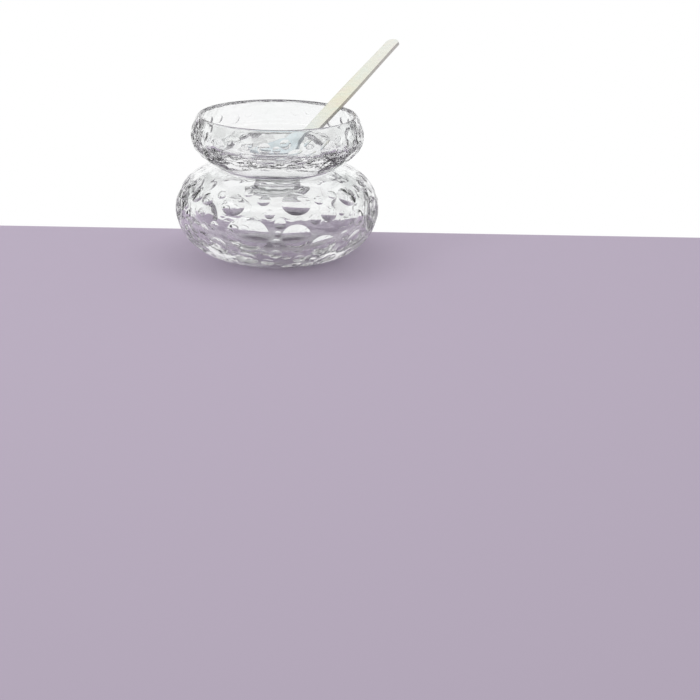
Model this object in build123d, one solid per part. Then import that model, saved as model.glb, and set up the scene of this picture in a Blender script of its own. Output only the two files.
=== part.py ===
from build123d import *
from math import acos, asin, atan2, cos, degrees, pi, radians, sin, sqrt, tan
from random import Random
import os

# A caviar server for one: a cut crystal ice bowl, a cut crystal caviar bowl whose underside
# rests on its mouth, and a mother-of-pearl spoon that leans in the caviar bowl.
# Millimetres, Z up, origin at the middle of the flat face that the ice bowl stands on.

# Ice bowl
ice_belly_radius = 60.0
ice_belly_height = 29.5
ice_base_radius = 26.0
ice_shoulder_radius = 30.0
ice_mouth_radius = 35.0
ice_mouth_height = 54.5
ice_lip_radius = 2.0
ice_wall = 5.0
ice_floor = 6.0
ice_well_radius = 22.0

# Caviar bowl, heights counted from its widest ring
caviar_belly_radius = 50.7
caviar_depth = 23.3
caviar_mouth_radius = 46.6
caviar_mouth_rise = 12.1
caviar_lip_radius = 1.3
caviar_wall = 4.0
caviar_floor = 11.6
caviar_well_radius = 14.0
foot_radius = 19.0
foot_edge = 2.6
foot_flare = 6.3
foot_waist_radius = 13.0
foot_fillet = 1.8
seat_clearance = 0.1

# Lens cuts: those seen from the front by radius, heading and height, and the rest by radius and
# number, with how far over each bowl they reach
lens_curve = 3.6
lens_gap = 0.6
lens_stock = 0.5
lens_tries = 300
ice_front_lenses = [
    (11.2, -104, 27.0), (7.7, -77, 26.5), (6.6, -114, 42.0), (5.0, -37, 32.5), (4.5, -144, 31.0),
    (4.2, -133, 43.0), (3.2, -86, 34.0), (3.1, -66, 35.5), (1.7, -49, 33.0),
]
ice_lenses = {11.2: 4, 7.7: 9, 6.4: 12, 4.8: 20, 3.8: 26, 2.9: 32, 2.0: 30}
ice_lens_low_radius = 43.0
ice_lens_high_radius = 47.0
ice_lens_seed = 7
caviar_front_lenses = [(3.6, -96, 74.5), (5.0, -130, 73.0), (4.0, -116, 70.0), (5.6, -52, 72.5)]
caviar_lenses = {5.6: 7, 4.6: 12, 3.8: 16, 3.0: 20, 2.2: 24}
caviar_lens_low_radius = 44.0
caviar_lens_high_rise = 8.5
caviar_lens_seed = 11

# Spoon and how it leans
handle_length = 95.0
handle_width = 11.4
handle_widest = 40.0
handle_tip_width = 9.4
handle_tip_round = 3.0
neck_width = 10.0
neck_reach = 8.0
neck_fillet = 9.0
dish_length = 34.0
dish_width = 22.0
dish_curve = 40.0
spoon_thickness = 2.0
spoon_edge = 0.5
spoon_slope = 32.3
spoon_heading = 47.0
spoon_rest_heading = 40.3
spoon_clearance = 0.1

# How finely places are worked out: halvings of a range, rings of points over the dish and points
# in each
halvings = 60
skin_rings = 12
skin_steps = 72


class Oval:
    """A round stretch of a bowl's profile: part of an ellipse about a point."""

    def __init__(self, radius, height, half_width, half_height):
        self.radius = radius
        self.height = height
        self.half_width = half_width
        self.half_height = half_height

    def point(self, angle):
        turn = radians(angle)
        radius = self.radius + self.half_width * cos(turn)
        return radius, self.height + self.half_height * sin(turn)

    def normal(self, angle):
        turn = radians(angle)
        along = cos(turn) / self.half_width
        up = sin(turn) / self.half_height
        size = sqrt(along * along + up * up)
        return along / size, up / size

    def beside(self, angle, distance):
        (radius, height), (along, up) = self.point(angle), self.normal(angle)
        return radius + along * distance, height + up * distance

    def pace(self, angle):
        turn = radians(angle)
        return sqrt((self.half_width * sin(turn)) ** 2 + (self.half_height * cos(turn)) ** 2)

    def bend(self, angle):
        """How sharply the skin curves here, as the mean of its two curvatures."""
        along_profile = self.half_width * self.half_height / self.pace(angle) ** 3
        around_axis = self.normal(angle)[0] / self.point(angle)[0]
        return (along_profile + around_axis) / 2

    def angle_at(self, radius):
        return degrees(acos((radius - self.radius) / self.half_width))

    def edge(self, start, end):
        centre = (self.radius, self.height)
        return EllipticalCenterArc(centre, self.half_width, self.half_height, start, arc_size=end - start)


def solve(miss, low, high):
    """The value between low and high at which miss, which rises through it, is nothing."""
    for _ in range(halvings):
        middle = (low + high) / 2
        if miss(middle) > 0:
            high = middle
        else:
            low = middle
    return (low + high) / 2


def half_height(half_width, out, height):
    """Half height of the ellipse that is this high this far out from its middle."""
    return height / sqrt(1 - (out / half_width) ** 2)


def turned(profile):
    """The solid that a closed profile of radius and height sweeps about the axis."""
    return revolve(Plane.XZ * make_face(Curve() + profile), Axis.Z)


def lip(wall, angle, lip_radius):
    """The middle, crest and inner end of the rounded lip that ends a wall at this angle."""
    along, up = wall.normal(angle)
    middle = wall.beside(angle, -lip_radius)
    crest = middle[0] - up * lip_radius, middle[1] + along * lip_radius
    return middle, crest, wall.beside(angle, -2 * lip_radius)


def ice_stretches():
    """The ice bowl's outside below and above its widest ring."""
    low = Oval(ice_base_radius, ice_belly_height, ice_belly_radius - ice_base_radius, ice_belly_height)
    shoulder = ice_belly_radius - ice_shoulder_radius
    out = ice_mouth_radius - ice_shoulder_radius
    rise = half_height(shoulder, out, ice_mouth_height - ice_belly_height)
    return low, Oval(ice_shoulder_radius, ice_belly_height, shoulder, rise)


def ice_bowl():
    """A low round bowl with a flat base, a thick floor, a broad shoulder and a rounded mouth."""
    low, high = ice_stretches()
    mouth = high.angle_at(ice_mouth_radius)
    _, crest, inside = lip(high, mouth, ice_lip_radius)
    inner_radius = ice_belly_radius - ice_wall
    shoulder = inner_radius - ice_shoulder_radius
    inner_rise = half_height(shoulder, inside[0] - ice_shoulder_radius, inside[1] - ice_belly_height)
    inner_high = Oval(ice_shoulder_radius, ice_belly_height, shoulder, inner_rise)
    inner_depth = ice_belly_height - ice_floor
    inner_low = Oval(ice_well_radius, ice_belly_height, inner_radius - ice_well_radius, inner_depth)
    return turned([
        Line((0, 0), (ice_base_radius, 0)),
        low.edge(-90, 0),
        high.edge(0, mouth),
        ThreePointArc(high.point(mouth), crest, inside),
        inner_high.edge(inner_high.angle_at(inside[0]), 0),
        inner_low.edge(0, -90),
        Line((ice_well_radius, ice_floor), (0, ice_floor)),
        Line((0, ice_floor), (0, 0)),
    ])


def caviar_level():
    """Height of the caviar bowl's widest ring when its underside rests on the ice bowl's lip."""
    _, high = ice_stretches()
    lip_middle, _, _ = lip(high, high.angle_at(ice_mouth_radius), ice_lip_radius)
    reach = ice_lip_radius + seat_clearance
    under = Oval(0, 0, caviar_belly_radius, caviar_depth)
    seat = solve(lambda angle: under.beside(angle, reach)[0] - lip_middle[0], -90, 0)
    return lip_middle[1] - under.beside(seat, reach)[1]


def caviar_stretches():
    """The caviar bowl's outside below and above its widest ring."""
    level = caviar_level()
    rise = half_height(caviar_belly_radius, caviar_mouth_radius, caviar_mouth_rise)
    low = Oval(0, level, caviar_belly_radius, caviar_depth)
    return low, Oval(0, level, caviar_belly_radius, rise)


def caviar_inside():
    """The caviar bowl's inside below and above its widest ring."""
    low, high = caviar_stretches()
    _, _, inside = lip(high, high.angle_at(caviar_mouth_radius), caviar_lip_radius)
    inner_radius = caviar_belly_radius - caviar_wall
    rise = half_height(inner_radius, inside[0], inside[1] - low.height)
    inner_depth = caviar_depth - caviar_floor
    inner_low = Oval(caviar_well_radius, low.height, inner_radius - caviar_well_radius, inner_depth)
    return inner_low, Oval(0, low.height, inner_radius, rise)


def foot_profile(under):
    """The short flared foot, from the underside in to its waist and out to its rounded edge."""
    fillet_radius = foot_waist_radius + foot_fillet
    touch = solve(lambda angle: under.beside(angle, foot_fillet)[0] - fillet_radius, -90, 0)
    middle = under.beside(touch, foot_fillet)
    along, up = under.normal(touch)
    between = atan2(-up, -along - 1)
    fillet = middle[0] + foot_fillet * cos(between), middle[1] + foot_fillet * sin(between)
    half_edge = foot_edge / 2
    flare_radius = foot_radius - half_edge
    flare = Oval(flare_radius, middle[1], flare_radius - foot_waist_radius, foot_flare)
    edge_top = middle[1] - foot_flare
    bottom = edge_top - foot_edge
    rim = foot_radius, edge_top - half_edge
    edges = [
        ThreePointArc(under.point(touch), fillet, (foot_waist_radius, middle[1])),
        flare.edge(180, 270),
        ThreePointArc((flare_radius, edge_top), rim, (flare_radius, bottom)),
        Line((flare_radius, bottom), (0, bottom)),
    ]
    return touch, bottom, edges


def caviar_bowl():
    """A wide shallow bowl whose underside seats on the ice bowl's lip, with a foot to stand on."""
    low, high = caviar_stretches()
    inner_low, inner_high = caviar_inside()
    mouth = high.angle_at(caviar_mouth_radius)
    _, crest, inside = lip(high, mouth, caviar_lip_radius)
    touch, bottom, foot = foot_profile(low)
    floor = inner_low.point(-90)[1]
    return turned([
        low.edge(touch, 0),
        high.edge(0, mouth),
        ThreePointArc(high.point(mouth), crest, inside),
        inner_high.edge(inner_high.angle_at(inside[0]), 0),
        inner_low.edge(0, -90),
        Line((caviar_well_radius, floor), (0, floor)),
        Line((0, floor), (0, bottom)),
        *foot,
    ])


def at_height(stretches, height):
    """The stretch of a skin that is this high somewhere, and its angle there."""
    low, high = stretches[0][0], stretches[-1][0]
    stretch = low if height < low.height else high
    return stretch, degrees(asin((height - stretch.height) / stretch.half_height))


def spread(chance, stretches):
    """A place drawn evenly over a skin: its stretch, its angle there and its heading."""
    most = max(s.point(0)[0] * max(s.half_width, s.half_height) * abs(b - a) for s, a, b in stretches)
    while True:
        stretch, start, end = chance.choice(stretches)
        angle = chance.uniform(start, end)
        if chance.random() * most < stretch.point(angle)[0] * stretch.pace(angle) * abs(end - start):
            return stretch, angle, chance.uniform(0, 2 * pi)


def skin_point(stretch, angle, heading):
    """The point of a skin at this angle of its stretch and this heading in radians."""
    reach, height = stretch.point(angle)
    return Vector(reach * cos(heading), reach * sin(heading), height)


def scattered(front, lenses, seed, stretches):
    """The lens cuts of a skin: the ones in front, and more thrown round so that none meets another."""
    chance = Random(seed)
    ends = [stretches[0][0].point(stretches[0][1]), stretches[-1][0].point(stretches[-1][2])]
    cuts = [(radius, *at_height(stretches, height), radians(heading)) for radius, heading, height in front]
    for radius, count in lenses.items():
        for _ in range(count * lens_tries):
            stretch, angle, heading = spread(chance, stretches)
            middle = skin_point(stretch, angle, heading)
            profile = Vector(*stretch.point(angle))
            inside = all((profile - Vector(*end)).length > radius for end in ends)
            gaps = [(middle - skin_point(*cut[1:])).length - radius - cut[0] for cut in cuts]
            if inside and min(gaps) > lens_gap:
                cuts.append((radius, stretch, angle, heading))
                count -= 1
            if count == 0:
                break
    return [lens(*cut) for cut in cuts]


def lens(radius, stretch, angle, heading):
    """The cap of a ball that grinds one round hollow into the skin."""
    along, up = stretch.normal(angle)
    out = Vector(along * cos(heading), along * sin(heading), up)
    ball = lens_curve * radius
    sag = radius * radius * stretch.bend(angle) / 2
    above = sqrt(ball * ball - radius * radius) - sag
    top = degrees(asin((lens_stock - above) / ball))
    cap = Sphere(ball, arc_size1=-90, arc_size2=top, align=None)
    return Plane(origin=skin_point(stretch, angle, heading) + out * above, z_dir=out) * cap


def cut_ice_bowl():
    """The ice bowl with its lens cuts, clear of its base and its mouth."""
    low, high = ice_stretches()
    stretches = [
        (low, -low.angle_at(ice_lens_low_radius), 0),
        (high, 0, high.angle_at(ice_lens_high_radius)),
    ]
    return ice_bowl() - scattered(ice_front_lenses, ice_lenses, ice_lens_seed, stretches)


def cut_caviar_bowl():
    """The caviar bowl with its lens cuts, clear of its seat and its rim."""
    low, high = caviar_stretches()
    top = degrees(asin(caviar_lens_high_rise / high.half_height))
    stretches = [(low, -low.angle_at(caviar_lens_low_radius), 0), (high, 0, top)]
    return caviar_bowl() - scattered(caviar_front_lenses, caviar_lenses, caviar_lens_seed, stretches)


def dish_plane():
    """The middle of the balls that bound the dish, in the spoon's frame, facing the dish."""
    half_turn = (neck_reach + dish_length) / dish_curve / 2
    facing = (-sin(half_turn), 0, -cos(half_turn))
    return Plane(origin=(0, 0, dish_curve), x_dir=(-cos(half_turn), 0, sin(half_turn)), z_dir=facing)


def dish_middle():
    """How far the oval's middle lies beyond that of the balls, along the dish."""
    return dish_curve * sin((neck_reach + dish_length) / dish_curve / 2) - dish_length / 2


def dish_skin():
    """Points over the dish's underside, in the spoon's frame."""
    plane = dish_plane()
    points = []
    for ring in range(1, skin_rings + 1):
        for step in range(skin_steps):
            turn = 2 * pi * step / skin_steps
            x = dish_middle() + dish_length / 2 * ring / skin_rings * cos(turn)
            y = dish_width / 2 * ring / skin_rings * sin(turn)
            points.append(plane.from_local_coords(Vector(x, y, sqrt(dish_curve ** 2 - x * x - y * y))))
    return points


def dish():
    """An oval with a short neck, cut from a thin hollow ball that the handle's underside touches."""
    oval = Pos(dish_middle(), 0) * Ellipse(dish_length / 2, dish_width / 2)
    strip = Pos(dish_middle() - dish_curve / 2, 0) * Rectangle(dish_curve, neck_width)
    outline = oval + strip
    corners = [v for v in outline.vertices() if v.X > dish_middle() - dish_length / 2]
    outline = fillet(corners, neck_fillet)
    shell = Sphere(dish_curve) - Sphere(dish_curve - spoon_thickness)
    below_neck = Pos(-dish_curve, 0, 0) * Box(2 * dish_curve, 2 * dish_curve, 4 * dish_curve)
    return Pos(0, 0, dish_curve) * shell & extrude(dish_plane() * outline, 2 * dish_curve) & below_neck


def handle():
    """The flat handle, widest where a finger lies, with a rounded tip."""
    straight = handle_length - handle_tip_round
    side = Spline((0, neck_width / 2), (handle_widest, handle_width / 2), (straight, handle_tip_width / 2))
    tip = EllipticalCenterArc((straight, 0), handle_tip_round, handle_tip_width / 2, -90, arc_size=180)
    start = Line((0, -neck_width / 2), (0, neck_width / 2))
    return extrude(make_face(Curve() + [side, mirror(side, Plane.XZ), tip, start]), spoon_thickness)


def softened(half):
    """One half of the spoon with its rims rounded, apart from where the halves meet."""
    rims = [e for e in half.edges() if e.length > 1.5 * spoon_thickness and abs(e.center().X) > spoon_edge]
    return fillet(rims, spoon_edge)


def spoon():
    """A flat handle that turns into an oval dish."""
    return softened(dish()) + softened(handle())


def floor_gap(point, floor):
    """Distance of a point above the caviar bowl's inner floor, true near the floor."""
    out = max(sqrt(point.X ** 2 + point.Y ** 2) - floor.radius, 0)
    down = floor.height - point.Z
    wide, deep = floor.half_width, floor.half_height
    size = sqrt((out / wide) ** 2 + (down / deep) ** 2)
    steepness = sqrt((out / wide ** 2) ** 2 + (down / deep ** 2) ** 2)
    return (1 - size) * size / steepness


def spoon_place():
    """Where the spoon's neck lies, its handle resting on the rim and its dish on the floor."""
    _, high = caviar_stretches()
    floor, _ = caviar_inside()
    rim, _, _ = lip(high, high.angle_at(caviar_mouth_radius), caviar_lip_radius)
    slope, heading, rest = radians(spoon_slope), radians(spoon_heading), radians(spoon_rest_heading)
    lean = atan2(tan(slope), cos(rest - heading))
    face = Vector(-sin(lean) * cos(rest), -sin(lean) * sin(rest), cos(lean))
    along = Vector(cos(slope) * cos(heading), cos(slope) * sin(heading), sin(slope))
    rim_middle = Vector(rim[0] * cos(rest), rim[0] * sin(rest), rim[1])
    bow = handle_width ** 2 / (8 * rim[0]) * sin(lean)
    touch = rim_middle + face * (caviar_lip_radius + spoon_clearance + bow)
    skin = dish_skin()

    def place(slide):
        return Plane(origin=touch - along * slide, x_dir=along, z_dir=face)

    def sunk(slide):
        plane = place(slide)
        return spoon_clearance - min(floor_gap(plane.from_local_coords(point), floor) for point in skin)

    return place(solve(sunk, dish_width, 2 * dish_width))


def write(name, solid, place=Plane.XY):
    """Writes one sub-part where it lies at rest."""
    moved = place * solid
    moved.label = name
    export_step(moved, f"parts/{name}.step")


os.makedirs("parts", exist_ok=True)
write("ice_bowl", cut_ice_bowl())
write("caviar_bowl", cut_caviar_bowl())
write("spoon", spoon(), spoon_place())
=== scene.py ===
import math
import random

import bpy
from mathutils import Matrix, Vector


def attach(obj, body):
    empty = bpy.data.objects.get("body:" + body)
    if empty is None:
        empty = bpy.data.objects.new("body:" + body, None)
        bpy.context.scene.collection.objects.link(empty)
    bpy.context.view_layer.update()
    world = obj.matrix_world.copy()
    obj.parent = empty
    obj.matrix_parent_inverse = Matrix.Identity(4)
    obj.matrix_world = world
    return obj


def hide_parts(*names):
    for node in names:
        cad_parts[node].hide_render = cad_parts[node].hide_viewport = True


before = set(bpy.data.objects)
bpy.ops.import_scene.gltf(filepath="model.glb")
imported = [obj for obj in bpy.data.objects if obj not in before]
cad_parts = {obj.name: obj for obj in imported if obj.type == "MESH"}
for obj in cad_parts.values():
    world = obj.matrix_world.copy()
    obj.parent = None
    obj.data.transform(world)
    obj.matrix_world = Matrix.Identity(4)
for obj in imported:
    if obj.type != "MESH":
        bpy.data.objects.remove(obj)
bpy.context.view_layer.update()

bl_info = {
    "name": "Caviar server",
    "version": (1, 0, 0),
    "blender": (4, 5, 0),
    "location": "View3D > Sidebar > Caviar",
    "description": "Dresses the packed caviar server in cut crystal and mother-of-pearl",
    "category": "Object",
}

# The profiles are worked out in millimetres, as the solids are, and made in metres
MM = 0.001

# How the lens cuts lie, the same as in the solids: those seen from the front by radius, heading and
# height, and the rest by radius and number
LENS_CURVE = 3.6
LENS_GAP = 0.6
LENS_TRIES = 300
ICE_FRONT_LENSES = [
    (11.2, -104, 27.0), (7.7, -77, 26.5), (6.6, -114, 42.0), (5.0, -37, 32.5), (4.5, -144, 31.0),
    (4.2, -133, 43.0), (3.2, -86, 34.0), (3.1, -66, 35.5), (1.7, -49, 33.0),
]
ICE_LENSES = {11.2: 4, 7.7: 9, 6.4: 12, 4.8: 20, 3.8: 26, 2.9: 32, 2.0: 30}
ICE_LENS_LOW_RADIUS = 43.0
ICE_LENS_HIGH_RADIUS = 47.0
ICE_LENS_SEED = 7
CAVIAR_FRONT_LENSES = [(3.6, -96, 74.5), (5.0, -130, 73.0), (4.0, -116, 70.0), (5.6, -52, 72.5)]
CAVIAR_LENSES = {5.6: 7, 4.6: 12, 3.8: 16, 3.0: 20, 2.2: 24}
CAVIAR_LENS_LOW_RADIUS = 44.0
CAVIAR_LENS_HIGH_RISE = 8.5
CAVIAR_LENS_SEED = 11

# How finely the bowls are made: halvings of a range in which a place is sought, edges in each
# stretch of a profile, steps round the axis and faces of the balls that cut
HALVINGS = 60
ICE_STEPS = {"low": 44, "high": 30, "lip": 24, "inner_high": 28, "inner_low": 40}
FOOT_STEPS = {"edge": 20, "flare": 18, "fillet": 12}
CAVIAR_STEPS = {"low": 52, "high": 20, "lip": 24, "inner_high": 18, "inner_low": 50}
TURN_STEPS = 192
TURN_MERGE = 0.001 * MM
LENS_SIDES = 36
LENS_RINGS = 60
LENS_CAP_TURN = math.radians(24)
CUT_EDGE_ANGLE = math.radians(11)

# How finely the spoon is made, the share of its rows that make the dish, and how the dish's oval
# runs into the neck
SPOON_ROWS = 180
SPOON_COLUMNS = 16
SPOON_MERGE = 0.01 * MM
SPOON_NECK = 0.4
NECK_BLEND_START = 0.92
NECK_BLEND_END = 0.2
NECK_BLEND_POWER = 6
RIM_SEGMENTS = 3
RIM_ANGLE = math.radians(50)
SPOON_EDGE_ANGLE = math.radians(40)

# Crystal: how its faint tint drifts, and the soft waves that polishing leaves
TINT_SCALE = 30
TINT_START = 0.35
TINT_END = 0.65
POLISH_WAVE_SCALE = 140
POLISH_WAVE_STRENGTH = 0.25
POLISH_WAVE_DEPTH = 0.0004

# Mother-of-pearl: where its colours lie from the bottom of the dish up to the handle's tip, how
# they drift, the sheen painted into its colour, its growth lines and its gloss
PEARL_LOW = 0.060
PEARL_HIGH = 0.118
PEARL_PLACES = {"dish": 0.0, "dish_rim": 0.10, "neck": 0.22, "middle": 0.48, "upper": 0.75, "tip": 1.0}
PEARL_DRIFT_SCALE = 70
PEARL_DRIFT = 0.25
# Painted sheen: patches of green and rosy tint stand in for the pearl's shifting iridescence
PAINTED_SHEEN_SCALE = 110
PAINTED_SHEEN_SWIRL = 1.5
PAINTED_SHEEN_SHARE = 0.8
PAINTED_SHEEN = [
    (0.30, (0.94, 1.0, 0.98)), (0.47, (1.0, 1.0, 0.97)),
    (0.55, (1.0, 0.99, 0.93)), (0.70, (1.0, 0.94, 0.96)),
]
GROWTH_LINE_SCALE = 120
GROWTH_LINE_SWIRL = 9
GROWTH_LINE_GREY = 0.955
GROWTH_LINE_STRENGTH = 0.1
GROWTH_LINE_DEPTH = 0.0001
GLOSS_SCALE = 200
GLOSS = [(0.3, 0.2), (0.7, 0.32)]
COAT = 0.4
COAT_ROUGHNESS = 0.08

# Stage: the floor, which ends behind the object, the lamps by place, aim and size, how often light
# is followed on, and the camera
FLOOR_NEAR = -3.0
FLOOR_END = 0.055
FLOOR_SIDE = 3.0
FLOOR_HEIGHT = -0.00005
OVERHEAD = ((-0.1, 0.1, 1.4), (0, 0, 0.05), (1.3, 1.3))
WINDOW = ((-0.9, -0.9, 0.9), (0, 0, 0.06), (0.35, 0.5))
BOUNCES = 48
GLOSSY_BOUNCES = 24
EYE = (0.0446, -1.0659, 0.2969)
EYE_DOWN = 18.5
EYE_ROLL = 1.0

# Dark cards round the object: heading and width in degrees of those at both sides, their reach in
# height, the ring's heights, and the overhead card's radius and height
CARD_DISTANCE = 1.2
CARD_GREY = 0.01
CARD_SIDES = 48
CARDS = [(47, 24), (108, 40), (163, 34)]
CARD_HEIGHTS = (-0.4, 1.0)
CARD_RING_HEIGHTS = (0.5, 0.95)
CARD_CEILING = (0.8, 1.1)


def mm_property(name, description, default):
    return bpy.props.FloatProperty(name=name, description=description, default=default * MM,
                                   subtype="DISTANCE", unit="LENGTH", precision=4)


def angle_property(name, description, default):
    return bpy.props.FloatProperty(name=name, description=description, default=math.radians(default),
                                   subtype="ANGLE", unit="ROTATION")


def power_property(name, description, default):
    return bpy.props.FloatProperty(name=name, description=description, default=default,
                                   subtype="POWER", unit="POWER")


def colour_property(name, description, default):
    return bpy.props.FloatVectorProperty(name=name, description=description, default=default,
                                         subtype="COLOR", min=0, max=1)


class IceBowlSizes(bpy.types.PropertyGroup):
    belly_radius: mm_property("Belly radius", "Radius of the widest ring", 60.0)
    belly_height: mm_property("Belly height", "Height of the widest ring", 29.5)
    base_radius: mm_property("Base radius", "Radius of the flat base", 26.0)
    shoulder_radius: mm_property("Shoulder radius", "Radius about which the shoulder bends", 30.0)
    mouth_radius: mm_property("Mouth radius", "Outer radius where the lip begins", 35.0)
    mouth_height: mm_property("Mouth height", "Height where the lip begins", 54.5)
    lip_radius: mm_property("Lip radius", "Radius of the rounded lip", 2.0)
    wall: mm_property("Wall", "Thickness of the wall at the belly", 5.0)
    floor: mm_property("Floor", "Thickness of the floor", 6.0)
    well_radius: mm_property("Well radius", "Radius of the flat inner floor", 22.0)


class CaviarBowlSizes(bpy.types.PropertyGroup):
    belly_radius: mm_property("Belly radius", "Radius of the widest ring", 50.7)
    depth: mm_property("Depth", "Depth of the underside below the widest ring", 23.3)
    mouth_radius: mm_property("Mouth radius", "Outer radius where the lip begins", 46.6)
    mouth_rise: mm_property("Mouth rise", "Height of the lip's start over the widest ring", 12.1)
    lip_radius: mm_property("Lip radius", "Radius of the rounded lip", 1.3)
    wall: mm_property("Wall", "Thickness of the wall at the belly", 4.0)
    floor: mm_property("Floor", "Thickness of the floor", 11.6)
    well_radius: mm_property("Well radius", "Radius of the flat inner floor", 14.0)
    foot_radius: mm_property("Foot radius", "Outer radius of the foot", 19.0)
    foot_edge: mm_property("Foot edge", "Thickness of the foot's rounded edge", 2.6)
    foot_flare: mm_property("Foot flare", "Height of the foot's hollow flare", 6.3)
    foot_waist_radius: mm_property("Foot waist", "Radius of the foot's waist", 13.0)
    foot_fillet: mm_property("Foot fillet", "Fillet between the waist and the underside", 1.8)
    seat_clearance: mm_property("Seat clearance", "Gap to the ice bowl's lip", 0.1)


class SpoonSizes(bpy.types.PropertyGroup):
    handle_length: mm_property("Handle length", "From the neck to the tip", 95.0)
    handle_width: mm_property("Handle width", "Width of the handle where it is widest", 11.4)
    handle_widest: mm_property("Handle widest", "Where the handle is widest, from the neck", 40.0)
    tip_width: mm_property("Tip width", "Width of the handle where its rounded tip begins", 9.4)
    tip_round: mm_property("Tip round", "Length of the rounded tip", 3.0)
    neck_width: mm_property("Neck width", "Width of the neck", 10.0)
    neck_reach: mm_property("Neck reach", "Length of the neck between handle and dish", 8.0)
    dish_length: mm_property("Dish length", "Length of the oval dish", 34.0)
    dish_width: mm_property("Dish width", "Width of the oval dish", 22.0)
    dish_curve: mm_property("Dish curve", "Radius of the ball that the dish is part of", 40.0)
    thickness: mm_property("Thickness", "Thickness of the spoon", 2.0)
    edge: mm_property("Edge", "Rounding of the spoon's rims", 0.5)
    clearance: mm_property("Clearance", "Gap to the rim that the spoon leans on", 0.1)
    neck_to_rim: mm_property("Neck to rim", "From the neck to the rim that it leans on", 33.758)
    slope: angle_property("Slope", "How steeply the handle rises", 32.3)
    heading: angle_property("Heading", "The way the handle points, from +X", 47.0)
    rest_heading: angle_property("Rest heading", "Where on the rim it leans, from +X", 40.3)


class CrystalFinish(bpy.types.PropertyGroup):
    tint: colour_property("Tint", "Faint tint that drifts through the crystal", (0.975, 0.99, 0.985))
    refraction: bpy.props.FloatProperty(name="Refraction", description="Refractive index", default=1.54)


class PearlFinish(bpy.types.PropertyGroup):
    dish: colour_property("Dish", "Pearl at the bottom of the dish", (0.78, 0.87, 0.94))
    dish_rim: colour_property("Dish rim", "Pearl at the dish's rim", (0.82, 0.89, 0.94))
    neck: colour_property("Neck", "Pearl at the neck", (0.87, 0.90, 0.87))
    middle: colour_property("Middle", "Pearl at the middle of the handle", (0.90, 0.88, 0.73))
    upper: colour_property("Upper", "Pearl of the upper handle", (0.88, 0.89, 0.80))
    tip: colour_property("Tip", "Pearl at the tip", (0.90, 0.90, 0.85))


class StageSettings(bpy.types.PropertyGroup):
    floor_colour: colour_property("Floor", "Colour of the floor", (0.52, 0.45, 0.56))
    room_light: colour_property("Room light", "Light that the white room gives", (0.45, 0.45, 0.45))
    overhead_power: power_property("Overhead", "Power of the lamp overhead", 12)
    window_power: power_property("Window", "Power of the lamp at the side", 1.2)
    lens: bpy.props.FloatProperty(name="Lens", description="Focal length of the camera", default=95.14,
                                  subtype="DISTANCE_CAMERA", unit="CAMERA")


class Oval:
    """A round stretch of a bowl's profile: part of an ellipse about a point."""

    def __init__(self, radius, height, half_width, half_height):
        self.radius = radius
        self.height = height
        self.half_width = half_width
        self.half_height = half_height

    def point(self, angle):
        turn = math.radians(angle)
        radius = self.radius + self.half_width * math.cos(turn)
        return radius, self.height + self.half_height * math.sin(turn)

    def normal(self, angle):
        turn = math.radians(angle)
        along = math.cos(turn) / self.half_width
        up = math.sin(turn) / self.half_height
        size = math.sqrt(along * along + up * up)
        return along / size, up / size

    def beside(self, angle, distance):
        (radius, height), (along, up) = self.point(angle), self.normal(angle)
        return radius + along * distance, height + up * distance

    def pace(self, angle):
        """How fast the point moves as its angle turns."""
        turn = math.radians(angle)
        along, up = self.half_width * math.sin(turn), self.half_height * math.cos(turn)
        return math.sqrt(along ** 2 + up ** 2)

    def bend(self, angle):
        """How sharply the skin curves here, as the mean of its two curvatures."""
        along_profile = self.half_width * self.half_height / self.pace(angle) ** 3
        around_axis = self.normal(angle)[0] / self.point(angle)[0]
        return (along_profile + around_axis) / 2

    def angle_at(self, radius):
        return math.degrees(math.acos((radius - self.radius) / self.half_width))

    def points(self, start, end, count):
        """Points along the stretch without the first."""
        return [self.point(start + (end - start) * step / count) for step in range(1, count + 1)]


def solve(miss, low, high):
    """The value between low and high at which miss, which rises through it, is nothing."""
    for _ in range(HALVINGS):
        middle = (low + high) / 2
        if miss(middle) > 0:
            high = middle
        else:
            low = middle
    return (low + high) / 2


def half_height(half_width, out, height):
    """Half height of the ellipse that is this high this far out from its middle."""
    return height / math.sqrt(1 - (out / half_width) ** 2)


def in_mm(sizes):
    """The named sizes of a property group, in millimetres rounded as they were written."""
    values = {}
    for name in sizes.__annotations__:
        prop = sizes.bl_rna.properties[name]
        value = getattr(sizes, name)
        values[name] = value if prop.subtype == "ANGLE" else round(value / MM, 3)
    return values


def lip_points(wall, angle, lip_radius, count):
    """The rounded lip from the outside over its crest to its inner end, without the first point."""
    along, up = wall.normal(angle)
    middle = wall.beside(angle, -lip_radius)
    start = math.atan2(up, along)
    turns = [start + math.pi * step / count for step in range(1, count + 1)]
    return [(middle[0] + lip_radius * math.cos(t), middle[1] + lip_radius * math.sin(t)) for t in turns]


def upper_points(s, low, high, inner_depth, steps):
    """A bowl's skin from its widest ring up, over the lip and down inside to the middle of its floor."""
    mouth = high.angle_at(s["mouth_radius"])
    inside = high.beside(mouth, -2 * s["lip_radius"])
    inner_radius = s["belly_radius"] - s["wall"]
    shoulder = inner_radius - high.radius
    rise = half_height(shoulder, inside[0] - high.radius, inside[1] - low.height)
    inner_high = Oval(high.radius, low.height, shoulder, rise)
    inner_low = Oval(s["well_radius"], low.height, inner_radius - s["well_radius"], inner_depth)
    return [
        *high.points(0, mouth, steps["high"]),
        *lip_points(high, mouth, s["lip_radius"], steps["lip"]),
        *inner_high.points(inner_high.angle_at(inside[0]), 0, steps["inner_high"]),
        *inner_low.points(0, -90, steps["inner_low"]),
        (0, inner_low.point(-90)[1]),
    ]


def ice_stretches(s):
    """The ice bowl's outside below and above its widest ring."""
    level = s["belly_height"]
    low = Oval(s["base_radius"], level, s["belly_radius"] - s["base_radius"], level)
    shoulder = s["belly_radius"] - s["shoulder_radius"]
    rise = half_height(shoulder, s["mouth_radius"] - s["shoulder_radius"], s["mouth_height"] - level)
    return low, Oval(s["shoulder_radius"], level, shoulder, rise)


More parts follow.
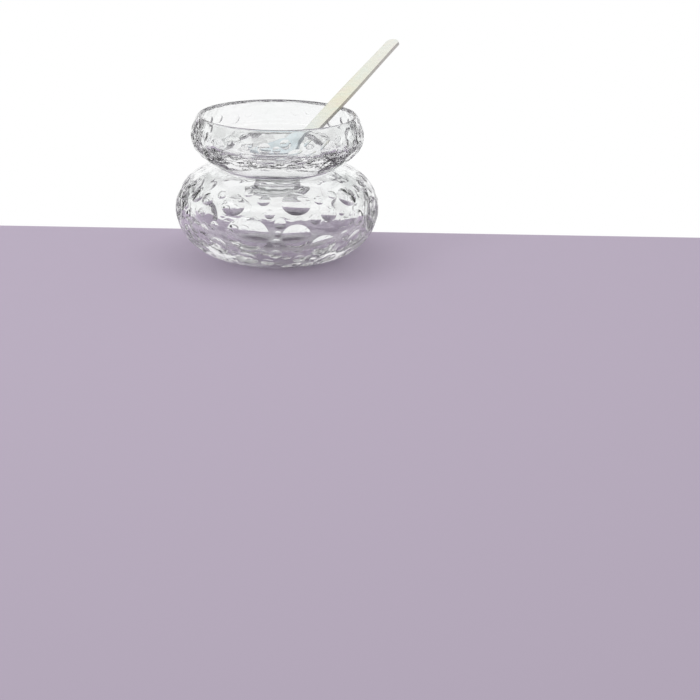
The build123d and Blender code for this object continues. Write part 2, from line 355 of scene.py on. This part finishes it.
def ice_profile(s):
    """Radius and height of the ice bowl's skin from the middle of its base to that of its floor."""
    low, high = ice_stretches(s)
    return [
        (0, 0),
        low.point(-90),
        *low.points(-90, 0, ICE_STEPS["low"]),
        *upper_points(s, low, high, low.height - s["floor"], ICE_STEPS),
    ]


def caviar_level(s, ice):
    """Height of the caviar bowl's widest ring when its underside rests on the ice bowl's lip."""
    _, high = ice_stretches(ice)
    lip_middle = high.beside(high.angle_at(ice["mouth_radius"]), -ice["lip_radius"])
    reach = ice["lip_radius"] + s["seat_clearance"]
    under = Oval(0, 0, s["belly_radius"], s["depth"])
    seat = solve(lambda angle: under.beside(angle, reach)[0] - lip_middle[0], -90, 0)
    return lip_middle[1] - under.beside(seat, reach)[1]


def caviar_stretches(s, ice):
    """The caviar bowl's outside below and above its widest ring."""
    level = caviar_level(s, ice)
    rise = half_height(s["belly_radius"], s["mouth_radius"], s["mouth_rise"])
    return Oval(0, level, s["belly_radius"], s["depth"]), Oval(0, level, s["belly_radius"], rise)


def foot_points(s, under):
    """Where the foot meets the underside, and its skin from the middle of its flat bottom up to there."""
    fillet, half_edge = s["foot_fillet"], s["foot_edge"] / 2
    reach = s["foot_waist_radius"] + fillet
    touch = solve(lambda angle: under.beside(angle, fillet)[0] - reach, -90, 0)
    middle = under.beside(touch, fillet)
    along, up = under.normal(touch)
    flare_radius = s["foot_radius"] - half_edge
    flare = Oval(flare_radius, middle[1], flare_radius - s["foot_waist_radius"], s["foot_flare"])
    edge = Oval(flare_radius, middle[1] - s["foot_flare"] - half_edge, half_edge, half_edge)
    hollow = Oval(middle[0], middle[1], fillet, fillet)
    end = math.degrees(math.atan2(-up, -along))
    return touch, [
        (0, edge.height - half_edge),
        edge.point(-90),
        *edge.points(-90, 90, FOOT_STEPS["edge"]),
        *flare.points(270, 180, FOOT_STEPS["flare"]),
        *hollow.points(180, end, FOOT_STEPS["fillet"]),
    ]


def caviar_profile(s, ice):
    """Radius and height of the caviar bowl's skin from the middle of its foot to that of its floor."""
    low, high = caviar_stretches(s, ice)
    touch, foot = foot_points(s, low)
    return [
        *foot,
        *low.points(touch, 0, CAVIAR_STEPS["low"]),
        *upper_points(s, low, high, s["depth"] - s["floor"], CAVIAR_STEPS),
    ]


def at_height(stretches, height):
    """The stretch of a skin that is this high somewhere, and its angle there."""
    low, high = stretches[0][0], stretches[-1][0]
    stretch = low if height < low.height else high
    return stretch, math.degrees(math.asin((height - stretch.height) / stretch.half_height))


def spread(chance, stretches):
    """A place drawn evenly over a skin: its stretch, its angle there and its heading."""
    most = max(s.point(0)[0] * max(s.half_width, s.half_height) * abs(b - a) for s, a, b in stretches)
    while True:
        stretch, start, end = chance.choice(stretches)
        angle = chance.uniform(start, end)
        if chance.random() * most < stretch.point(angle)[0] * stretch.pace(angle) * abs(end - start):
            return stretch, angle, chance.uniform(0, 2 * math.pi)


def skin_point(stretch, angle, heading):
    """The point of a skin at this angle of its stretch and this heading in radians."""
    reach, height = stretch.point(angle)
    return reach * math.cos(heading), reach * math.sin(heading), height


def scattered(front, lenses, seed, stretches):
    """The lens cuts in front, and more thrown round so that none meets another."""
    chance = random.Random(seed)
    ends = [stretches[0][0].point(stretches[0][1]), stretches[-1][0].point(stretches[-1][2])]
    cuts = []
    for radius, heading, height in front:
        cuts.append((radius, *at_height(stretches, height), math.radians(heading)))
    for radius, count in lenses.items():
        for _ in range(count * LENS_TRIES):
            stretch, angle, heading = spread(chance, stretches)
            middle = skin_point(stretch, angle, heading)
            inside = all(math.dist(stretch.point(angle), end) > radius for end in ends)
            gaps = [math.dist(middle, skin_point(*cut[1:])) - radius - cut[0] for cut in cuts]
            if inside and min(gaps) > LENS_GAP:
                cuts.append((radius, stretch, angle, heading))
                count -= 1
            if count == 0:
                break
    return [seated(*cut) for cut in cuts]


def seated(radius, stretch, angle, heading):
    """A lens cut on the skin: its middle, the way it faces, its radius and its sag."""
    along, up = stretch.normal(angle)
    out = Vector((along * math.cos(heading), along * math.sin(heading), up))
    sag = radius * radius * stretch.bend(angle) / 2
    return skin_point(stretch, angle, heading), out, radius, sag


def ice_lenses(s):
    """The ice bowl's lens cuts, clear of its base and its mouth."""
    low, high = ice_stretches(s)
    return scattered(ICE_FRONT_LENSES, ICE_LENSES, ICE_LENS_SEED, [
        (low, -low.angle_at(ICE_LENS_LOW_RADIUS), 0),
        (high, 0, high.angle_at(ICE_LENS_HIGH_RADIUS)),
    ])


def caviar_lenses(s, ice):
    """The caviar bowl's lens cuts, clear of its seat and its rim."""
    low, high = caviar_stretches(s, ice)
    top = math.degrees(math.asin(CAVIAR_LENS_HIGH_RISE / high.half_height))
    return scattered(CAVIAR_FRONT_LENSES, CAVIAR_LENSES, CAVIAR_LENS_SEED, [
        (low, -low.angle_at(CAVIAR_LENS_LOW_RADIUS), 0),
        (high, 0, top),
    ])


def deselect_all():
    if bpy.context.object and bpy.context.object.mode != "OBJECT":
        bpy.ops.object.mode_set(mode="OBJECT")
    bpy.ops.object.select_all(action="DESELECT")


def select_only(piece):
    deselect_all()
    piece.select_set(True)
    bpy.context.view_layer.objects.active = piece


def face_outwards(merge=0):
    """Turns the active mesh's faces outwards, its doubles merged first where that is asked for."""
    bpy.ops.object.mode_set(mode="EDIT")
    bpy.ops.mesh.select_all(action="SELECT")
    if merge:
        bpy.ops.mesh.remove_doubles(threshold=merge)
    bpy.ops.mesh.normals_make_consistent(inside=False)
    bpy.ops.object.mode_set(mode="OBJECT")


def turned(name, profile):
    """A closed skin spun about the axis from a profile whose two ends lie on it."""
    deselect_all()
    bpy.ops.mesh.primitive_circle_add(vertices=len(profile), fill_type="NOTHING")
    piece = bpy.context.object
    piece.name = piece.data.name = name
    for corner, (radius, height) in zip(piece.data.vertices, profile):
        corner.co = (radius * MM, 0, height * MM)
    ends = {0, len(profile) - 1}
    bpy.ops.object.mode_set(mode="EDIT")
    bpy.ops.mesh.select_all(action="DESELECT")
    bpy.ops.object.mode_set(mode="OBJECT")
    for edge in piece.data.edges:
        edge.select = set(edge.vertices) == ends
    bpy.ops.object.mode_set(mode="EDIT")
    bpy.ops.mesh.select_mode(type="EDGE")
    bpy.ops.mesh.delete(type="EDGE_FACE")
    bpy.ops.mesh.select_all(action="SELECT")
    bpy.ops.mesh.spin(steps=TURN_STEPS, angle=2 * math.pi, center=(0, 0, 0), axis=(0, 0, 1))
    face_outwards(TURN_MERGE)
    return piece


def lens_cap():
    """The cap of a ball of radius one about the origin, closed by a flat disc, facing down."""
    deselect_all()
    bpy.ops.mesh.primitive_uv_sphere_add(segments=LENS_SIDES, ring_count=LENS_RINGS, radius=1)
    cap = bpy.context.object
    bpy.ops.object.mode_set(mode="EDIT")
    bpy.ops.mesh.select_all(action="SELECT")
    cut = (0, 0, -math.cos(LENS_CAP_TURN))
    bpy.ops.mesh.bisect(plane_co=cut, plane_no=(0, 0, 1), clear_outer=True, use_fill=True)
    bpy.ops.object.mode_set(mode="OBJECT")
    return cap


def apart(lenses):
    """The lens cuts in groups whose cutting balls don't meet."""
    reach = LENS_CURVE * math.sin(LENS_CAP_TURN)
    groups = []
    for lens in lenses:
        for group in groups:
            if all(math.dist(lens[0], other[0]) > reach * (lens[2] + other[2]) for other in group):
                group.append(lens)
                break
        else:
            groups.append([lens])
    return groups


def cutter(cap, lenses):
    """One object of a cap for each of these lens cuts, each cap with its own mesh."""
    copies = []
    for middle, out, radius, sag in lenses:
        copy = cap.copy()
        copy.data = cap.data.copy()
        ball = LENS_CURVE * radius
        above = math.sqrt(ball * ball - radius * radius) - sag
        turn = out.to_track_quat("Z", "Y").to_matrix().to_4x4()
        place = Vector(middle) + out * above
        copy.data.transform(Matrix.Translation(place * MM) @ turn @ Matrix.Scale(ball * MM, 4))
        bpy.context.collection.objects.link(copy)
        copies.append(copy)
    select_only(copies[0])
    for copy in copies:
        copy.select_set(True)
    if len(copies) > 1:
        bpy.ops.object.join()
    return bpy.context.object


def grind(piece, lenses):
    """Takes the round hollows out of a bowl's outside."""
    cap = lens_cap()
    for group in apart(lenses):
        balls = cutter(cap, group)
        select_only(piece)
        cut = piece.modifiers.new("Lens cuts", "BOOLEAN")
        cut.operation = "DIFFERENCE"
        cut.solver = "MANIFOLD"
        cut.object = balls
        bpy.ops.object.modifier_apply(modifier=cut.name)
        bpy.data.objects.remove(balls)
    bpy.data.objects.remove(cap)
    select_only(piece)
    bpy.ops.object.shade_smooth_by_angle(angle=CUT_EDGE_ANGLE)


def feed(tree, socket, value):
    """Links a socket or sets a constant on this input."""
    if isinstance(value, bpy.types.NodeSocket):
        tree.links.new(value, socket)
    else:
        socket.default_value = value


def math_node(tree, operation, first, second):
    """The output of a math node fed by numbers or sockets."""
    node = tree.nodes.new("ShaderNodeMath")
    node.operation = operation
    feed(tree, node.inputs[0], first)
    feed(tree, node.inputs[1], second)
    return node.outputs[0]


def ramp_node(tree, value, stops):
    """The output of a colour ramp with these places and greys or colours."""
    node = tree.nodes.new("ShaderNodeValToRGB")
    ramp = node.color_ramp
    while len(ramp.elements) < len(stops):
        ramp.elements.new(0.5)
    for element, (place, colour) in zip(ramp.elements, stops):
        element.position = place
        grey = isinstance(colour, float)
        element.color = (colour, colour, colour, 1) if grey else (*colour, 1)
    tree.links.new(value, node.inputs["Fac"])
    return node.outputs["Color"]


def mixed(tree, blend, share, first, second):
    """The colour socket of a mix of two colours, each a socket or a constant."""
    node = tree.nodes.new("ShaderNodeMix")
    node.data_type = "RGBA"
    node.blend_type = blend
    for name, value in (("Factor", share), ("A", first), ("B", second)):
        feed(tree, node.inputs[name], value)
    return node.outputs["Result"]


def noise_node(tree, place, scale, detail, swirl=0):
    """A noise texture over these coordinates."""
    node = tree.nodes.new("ShaderNodeTexNoise")
    tree.links.new(place, node.inputs["Vector"])
    node.inputs["Scale"].default_value = scale
    node.inputs["Detail"].default_value = detail
    node.inputs["Distortion"].default_value = swirl
    return node.outputs["Fac"]


def wave_node(tree, place, scale, detail, swirl):
    """Slanting wavy bands over these coordinates."""
    node = tree.nodes.new("ShaderNodeTexWave")
    tree.links.new(place, node.inputs["Vector"])
    node.bands_direction = "DIAGONAL"
    node.inputs["Scale"].default_value = scale
    node.inputs["Detail"].default_value = detail
    node.inputs["Distortion"].default_value = swirl
    return node.outputs["Fac"]


def bump_node(tree, height, strength, depth):
    """The normal of a skin that this height lifts by at most this depth."""
    node = tree.nodes.new("ShaderNodeBump")
    node.inputs["Strength"].default_value = strength
    node.inputs["Distance"].default_value = depth
    tree.links.new(height, node.inputs["Height"])
    return node.outputs["Normal"]


def new_material(name):
    """A material with its node tree and its shader."""
    material = bpy.data.materials.new(name)
    material.use_nodes = True
    return material, material.node_tree, material.node_tree.nodes["Principled BSDF"]


def crystal(name, finish):
    """Clear polished crystal with a breath of grey-green and the soft waves that polishing leaves."""
    material, tree, shader = new_material(name)
    place = tree.nodes.new("ShaderNodeTexCoord").outputs["Object"]
    drift = noise_node(tree, place, TINT_SCALE, detail=2)
    tint = ramp_node(tree, drift, [(TINT_START, tuple(finish.tint)), (TINT_END, 1.0)])
    tree.links.new(tint, shader.inputs["Base Color"])
    wave = noise_node(tree, place, POLISH_WAVE_SCALE, detail=1)
    normal = bump_node(tree, wave, POLISH_WAVE_STRENGTH, POLISH_WAVE_DEPTH)
    tree.links.new(normal, shader.inputs["Normal"])
    shader.inputs["Transmission Weight"].default_value = 1.0
    shader.inputs["Roughness"].default_value = 0.0
    shader.inputs["IOR"].default_value = finish.refraction
    return material


def pearl_body(tree, place, finish):
    """The pearl's colours, which change with height and drift a little."""
    parts = tree.nodes.new("ShaderNodeSeparateXYZ")
    tree.links.new(place, parts.inputs[0])
    above = math_node(tree, "SUBTRACT", parts.outputs[2], PEARL_LOW)
    climb = math_node(tree, "DIVIDE", above, PEARL_HIGH - PEARL_LOW)
    noise = noise_node(tree, place, PEARL_DRIFT_SCALE, detail=2)
    noise = math_node(tree, "SUBTRACT", noise, 0.5)
    drift = math_node(tree, "MULTIPLY", noise, PEARL_DRIFT)
    stops = [(at, tuple(getattr(finish, name))) for name, at in PEARL_PLACES.items()]
    return ramp_node(tree, math_node(tree, "ADD", climb, drift), stops)


def pearl(name, finish):
    """Polished mother-of-pearl: cream with a painted green and rosy sheen, fine growth lines and a bluish
    dish.
    """
    material, tree, shader = new_material(name)
    place = tree.nodes.new("ShaderNodeTexCoord").outputs["Object"]
    body = pearl_body(tree, place, finish)
    # Painted sheen: patchy green and rosy tints multiplied into the colour in place of iridescence
    painted_sheen = ramp_node(tree, noise_node(tree, place, PAINTED_SHEEN_SCALE, detail=3, swirl=PAINTED_SHEEN_SWIRL), PAINTED_SHEEN)
    lines = wave_node(tree, place, GROWTH_LINE_SCALE, detail=3, swirl=GROWTH_LINE_SWIRL)
    grain = ramp_node(tree, lines, [(0.0, GROWTH_LINE_GREY), (1.0, 1.0)])
    colour = mixed(tree, "MULTIPLY", 1.0, mixed(tree, "MULTIPLY", PAINTED_SHEEN_SHARE, body, painted_sheen), grain)
    tree.links.new(colour, shader.inputs["Base Color"])
    gloss = ramp_node(tree, noise_node(tree, place, GLOSS_SCALE, detail=2), GLOSS)
    tree.links.new(gloss, shader.inputs["Roughness"])
    normal = bump_node(tree, lines, GROWTH_LINE_STRENGTH, GROWTH_LINE_DEPTH)
    tree.links.new(normal, shader.inputs["Normal"])
    shader.inputs["Coat Weight"].default_value = COAT
    shader.inputs["Coat Roughness"].default_value = COAT_ROUGHNESS
    return material


def dress(piece, material, body, node, slot):
    """Gives a finished piece its material and its body, and hides the node it replaces; the slot sets its
    shadow.
    """
    piece.data.materials.clear()
    piece.data.materials.append(material)
    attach(piece, body)
    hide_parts(node)
    # A render gives clear glass the shadow of a solid, far darker than the real ice bowl's
    piece.visible_shadow = slot != "ice_crystal"


class CAVIAR_OT_ice_bowl(bpy.types.Operator):
    """Makes the ice bowl of cut crystal"""
    bl_idname = "caviar.ice_bowl"
    bl_label = "Ice bowl"

    def execute(self, context):
        sizes = in_mm(context.scene.caviar_ice_bowl)
        bowl = turned("ice_bowl_crystal", ice_profile(sizes))
        grind(bowl, ice_lenses(sizes))
        finish = crystal("Ice bowl crystal", context.scene.caviar_crystal)
        dress(bowl, finish, "ice_bowl", "ice_bowl", "ice_crystal")
        return {"FINISHED"}


class CAVIAR_OT_caviar_bowl(bpy.types.Operator):
    """Makes the footed caviar bowl of cut crystal"""
    bl_idname = "caviar.caviar_bowl"
    bl_label = "Caviar bowl"

    def execute(self, context):
        ice = in_mm(context.scene.caviar_ice_bowl)
        sizes = in_mm(context.scene.caviar_bowl)
        bowl = turned("caviar_bowl_crystal", caviar_profile(sizes, ice))
        grind(bowl, caviar_lenses(sizes, ice))
        finish = crystal("Caviar bowl crystal", context.scene.caviar_crystal)
        dress(bowl, finish, "caviar_bowl", "caviar_bowl", "caviar_crystal")
        return {"FINISHED"}


def spoon_place(s, caviar, ice):
    """Where the spoon's neck lies as its handle leans on the rim."""
    _, high = caviar_stretches(caviar, ice)
    mouth = high.angle_at(caviar["mouth_radius"])
    rim = high.beside(mouth, -caviar["lip_radius"])
    slope, heading, rest = s["slope"], s["heading"], s["rest_heading"]
    lean = math.atan2(math.tan(slope), math.cos(rest - heading))
    face = Vector((-math.sin(lean) * math.cos(rest), -math.sin(lean) * math.sin(rest), math.cos(lean)))
    level = math.cos(slope)
    along = Vector((level * math.cos(heading), level * math.sin(heading), math.sin(slope)))
    bow = s["handle_width"] ** 2 / (8 * rim[0]) * math.sin(lean)
    touch = Vector((rim[0] * math.cos(rest), rim[0] * math.sin(rest), rim[1]))
    touch += face * (caviar["lip_radius"] + s["clearance"] + bow)
    across = face.cross(along)
    place = Matrix((along, across, face)).transposed().to_4x4()
    place.translation = (touch - along * s["neck_to_rim"]) * MM
    return place


def through(places, x):
    """The value at x of a smooth curve through a few places, level at its ends."""
    places = sorted(places)
    if x <= places[0][0]:
        return places[0][1]
    for (x0, y0), (x1, y1) in zip(places, places[1:]):
        if x <= x1:
            step = (x - x0) / (x1 - x0)
            return y0 + (y1 - y0) * step * step * (3 - 2 * step)
    return places[-1][1]


def dish_point(s, step, side):
    """A point of the dish's underside in the spoon's frame: from its end 0 to the neck 1, and across."""
    ball, half = s["dish_curve"], s["dish_length"] / 2
    half_turn = (s["neck_reach"] + s["dish_length"]) / ball / 2
    reach = ball * math.sin(half_turn)
    x = reach - 2 * reach * (1 - math.cos(math.pi * step / 2))
    middle = reach - half
    width = s["dish_width"] / 2 * math.sqrt(max(1 - ((x - middle) / half) ** 2, 0))
    if x <= middle:
        blend = [(middle - half * NECK_BLEND_START, 1), (middle - half * NECK_BLEND_END, 0)]
        neck = through(blend, x) * (s["neck_width"] / 2)
        width = (width ** NECK_BLEND_POWER + neck ** NECK_BLEND_POWER) ** (1 / NECK_BLEND_POWER)
    y = side * width
    z = math.sqrt(ball * ball - x * x - y * y)
    return (-math.cos(half_turn) * x - math.sin(half_turn) * z, y,
            ball + math.sin(half_turn) * x - math.cos(half_turn) * z)


def handle_point(s, step, side):
    """A point of the handle's underside in the spoon's frame: from the neck 0 to the tip 1, and across."""
    x = s["handle_length"] * math.sin(math.pi * step / 2)
    straight = s["handle_length"] - s["tip_round"]
    widths = [(0, s["neck_width"] / 2), (s["handle_widest"], s["handle_width"] / 2),
              (straight, s["tip_width"] / 2)]
    width = through(widths, min(x, straight))
    if x > straight:
        width *= math.sqrt(max(1 - ((x - straight) / s["tip_round"]) ** 2, 0))
    return x, side * width, 0


def spoon_point(s, share, side):
    """A point of the underside in the spoon's frame: from the dish's end 0 to the tip 1, and across."""
    if share <= SPOON_NECK:
        return dish_point(s, share / SPOON_NECK, side)
    return handle_point(s, (share - SPOON_NECK) / (1 - SPOON_NECK), side)


def thicken(spoon, up, thickness, edge):
    """Gives the spoon's underside its thickness on this side, and its soft rims."""
    middle = spoon.data.polygons[len(spoon.data.polygons) // 2]
    thick = spoon.modifiers.new("Thickness", "SOLIDIFY")
    thick.thickness = thickness * MM
    thick.offset = 1 if middle.normal.dot(up) > 0 else -1
    thick.use_even_offset = True
    soft = spoon.modifiers.new("Soft rims", "BEVEL")
    soft.width = edge * MM
    soft.segments = RIM_SEGMENTS
    soft.limit_method = "ANGLE"
    soft.angle_limit = RIM_ANGLE
    for modifier in ("Thickness", "Soft rims"):
        bpy.ops.object.modifier_apply(modifier=modifier)


class CAVIAR_OT_spoon(bpy.types.Operator):
    """Makes the spoon of mother-of-pearl"""
    bl_idname = "caviar.spoon"
    bl_label = "Spoon"

    def execute(self, context):
        ice = in_mm(context.scene.caviar_ice_bowl)
        caviar = in_mm(context.scene.caviar_bowl)
        s = in_mm(context.scene.caviar_spoon)
        deselect_all()
        bpy.ops.mesh.primitive_grid_add(x_subdivisions=SPOON_ROWS, y_subdivisions=SPOON_COLUMNS, size=2)
        spoon = bpy.context.object
        spoon.name = spoon.data.name = "spoon_pearl"
        place = spoon_place(s, caviar, ice)
        for corner in spoon.data.vertices:
            corner.co = place @ (Vector(spoon_point(s, (corner.co.x + 1) / 2, corner.co.y)) * MM)
        face_outwards(SPOON_MERGE)
        thicken(spoon, place.to_3x3() @ Vector((0, 0, 1)), s["thickness"], s["edge"])
        face_outwards()
        bpy.ops.object.shade_smooth_by_angle(angle=SPOON_EDGE_ANGLE)
        dress(spoon, pearl("Mother-of-pearl", context.scene.caviar_pearl), "spoon", "spoon", "pearl")
        return {"FINISHED"}


def lay_floor(colour):
    """A plain matt floor that ends behind the object."""
    deselect_all()
    bpy.ops.mesh.primitive_plane_add(size=1)
    floor = bpy.context.object
    floor.name = "floor"
    for corner in floor.data.vertices:
        far = FLOOR_END if corner.co.y > 0 else FLOOR_NEAR
        corner.co = (math.copysign(FLOOR_SIDE, corner.co.x), far, FLOOR_HEIGHT)
    paint, _, shader = new_material("Floor")
    shader.inputs["Base Color"].default_value = (*colour, 1)
    shader.inputs["Roughness"].default_value = 1.0
    shader.inputs["Specular IOR Level"].default_value = 0.0
    floor.data.materials.append(paint)


def studio_world(scene, room_light):
    """A room that is white to the eye and in the crystal, and lights the rest at a plain level."""
    world = bpy.data.worlds.new("Studio")
    scene.world = world
    world.use_nodes = True
    tree = world.node_tree
    background = tree.nodes["Background"]
    rays = tree.nodes.new("ShaderNodeLightPath").outputs
    sight = math_node(tree, "MAXIMUM", rays["Is Camera Ray"], rays["Is Glossy Ray"])
    sight = math_node(tree, "MAXIMUM", sight, rays["Is Transmission Ray"])
    light = mixed(tree, "MIX", sight, (*room_light, 1), (1, 1, 1, 1))
    tree.links.new(light, background.inputs["Color"])
    background.inputs["Strength"].default_value = 1.0


def card(name):
    """Makes the active object a dark card that only the crystal shows."""
    piece = bpy.context.object
    piece.name = name
    cloth = bpy.data.materials.new(name)
    cloth.use_nodes = True
    tree = cloth.node_tree
    glow = tree.nodes.new("ShaderNodeEmission")
    glow.inputs["Color"].default_value = (CARD_GREY, CARD_GREY, CARD_GREY, 1)
    tree.links.new(glow.outputs[0], tree.nodes["Material Output"].inputs["Surface"])
    piece.data.materials.append(cloth)
    piece.visible_camera = piece.visible_diffuse = piece.visible_shadow = False


def side_card(turn, width, side):
    """A dark card beside the object, this far turned from the back and this wide, in degrees."""
    deselect_all()
    bpy.ops.mesh.primitive_plane_add(size=2)
    low, high = CARD_HEIGHTS
    half = CARD_DISTANCE * math.tan(math.radians(width / 2))
    middle, tall = (low + high) / 2, (high - low) / 2
    heading = Matrix.Rotation(math.radians(-side * turn), 4, "Z")
    for corner in bpy.context.object.data.vertices:
        place = Vector((corner.co.x * half, CARD_DISTANCE, middle + corner.co.y * tall))
        corner.co = heading @ place
    card(f"flag_{turn}_{side}")


def card_ring():
    """A ring of dark card above the object, round it."""
    deselect_all()
    low, high = CARD_RING_HEIGHTS
    bpy.ops.mesh.primitive_cylinder_add(vertices=CARD_SIDES, radius=CARD_DISTANCE, depth=high - low,
                                        end_fill_type="NOTHING")
    for corner in bpy.context.object.data.vertices:
        corner.co.z += (low + high) / 2
    card("flag_ring")


def card_ceiling():
    """A round dark card over the object."""
    deselect_all()
    radius, height = CARD_CEILING
    bpy.ops.mesh.primitive_circle_add(vertices=CARD_SIDES, radius=radius, fill_type="NGON")
    for corner in bpy.context.object.data.vertices:
        corner.co.z = height
    card("flag_ceiling")


def area_lamp(name, place, aim, size, power):
    lamp = bpy.data.lights.new(name, "AREA")
    lamp.shape = "RECTANGLE"
    lamp.size, lamp.size_y = size
    lamp.energy = power
    piece = bpy.data.objects.new(name, lamp)
    piece.location = place
    piece.rotation_euler = (Vector(aim) - Vector(place)).to_track_quat("-Z", "Y").to_euler()
    bpy.context.scene.collection.objects.link(piece)


def place_camera(scene, lens):
    """The camera at the photograph's height, distance and angle."""
    camera = bpy.data.cameras.new("Camera")
    camera.lens = lens
    camera.sensor_width = 36
    camera.clip_start = 0.01
    eye = bpy.data.objects.new("Camera", camera)
    tilt = Matrix.Rotation(math.radians(90 - EYE_DOWN), 4, "X")
    roll = Matrix.Rotation(math.radians(EYE_ROLL), 4, "Z")
    eye.matrix_world = Matrix.Translation(EYE) @ (tilt @ roll)
    scene.collection.objects.link(eye)
    scene.camera = eye


class CAVIAR_OT_stage(bpy.types.Operator):
    """Sets the floor, the lamps, the world and the camera"""
    bl_idname = "caviar.stage"
    bl_label = "Stage"

    def execute(self, context):
        scene = context.scene
        stage = scene.caviar_stage
        scene.view_settings.view_transform = "Standard"
        scene.cycles.max_bounces = BOUNCES
        scene.cycles.transmission_bounces = BOUNCES
        scene.cycles.glossy_bounces = GLOSSY_BOUNCES
        scene.cycles.use_denoising = True
        lay_floor(stage.floor_colour)
        studio_world(scene, stage.room_light)
        for turn, width in CARDS:
            for side in (-1, 1):
                side_card(turn, width, side)
        card_ring()
        card_ceiling()
        area_lamp("Overhead", *OVERHEAD, stage.overhead_power)
        area_lamp("Window", *WINDOW, stage.window_power)
        place_camera(scene, stage.lens)
        return {"FINISHED"}


GROUPS = {
    "caviar_ice_bowl": IceBowlSizes,
    "caviar_bowl": CaviarBowlSizes,
    "caviar_spoon": SpoonSizes,
    "caviar_crystal": CrystalFinish,
    "caviar_pearl": PearlFinish,
    "caviar_stage": StageSettings,
}
OPERATORS = (CAVIAR_OT_ice_bowl, CAVIAR_OT_caviar_bowl, CAVIAR_OT_spoon, CAVIAR_OT_stage)


class CAVIAR_PT_panel(bpy.types.Panel):
    """Lists the sizes, the finishes and the pieces"""
    bl_idname = "CAVIAR_PT_panel"
    bl_label = "Caviar server"
    bl_space_type = "VIEW_3D"
    bl_region_type = "UI"
    bl_category = "Caviar"

    def draw(self, context):
        for group in GROUPS:
            values = getattr(context.scene, group)
            box = self.layout.box()
            for name in values.__annotations__:
                box.prop(values, name)
        for operator in OPERATORS:
            self.layout.operator(operator.bl_idname)


CLASSES = (*GROUPS.values(), *OPERATORS, CAVIAR_PT_panel)


def register():
    for item in CLASSES:
        bpy.utils.register_class(item)
    for name, group in GROUPS.items():
        setattr(bpy.types.Scene, name, bpy.props.PointerProperty(type=group))


def unregister():
    for name in GROUPS:
        delattr(bpy.types.Scene, name)
    for item in reversed(CLASSES):
        bpy.utils.unregister_class(item)


def main():
    register()
    bpy.ops.caviar.ice_bowl()
    bpy.ops.caviar.caviar_bowl()
    bpy.ops.caviar.spoon()
    bpy.ops.caviar.stage()


if __name__ == "__main__":
    main()
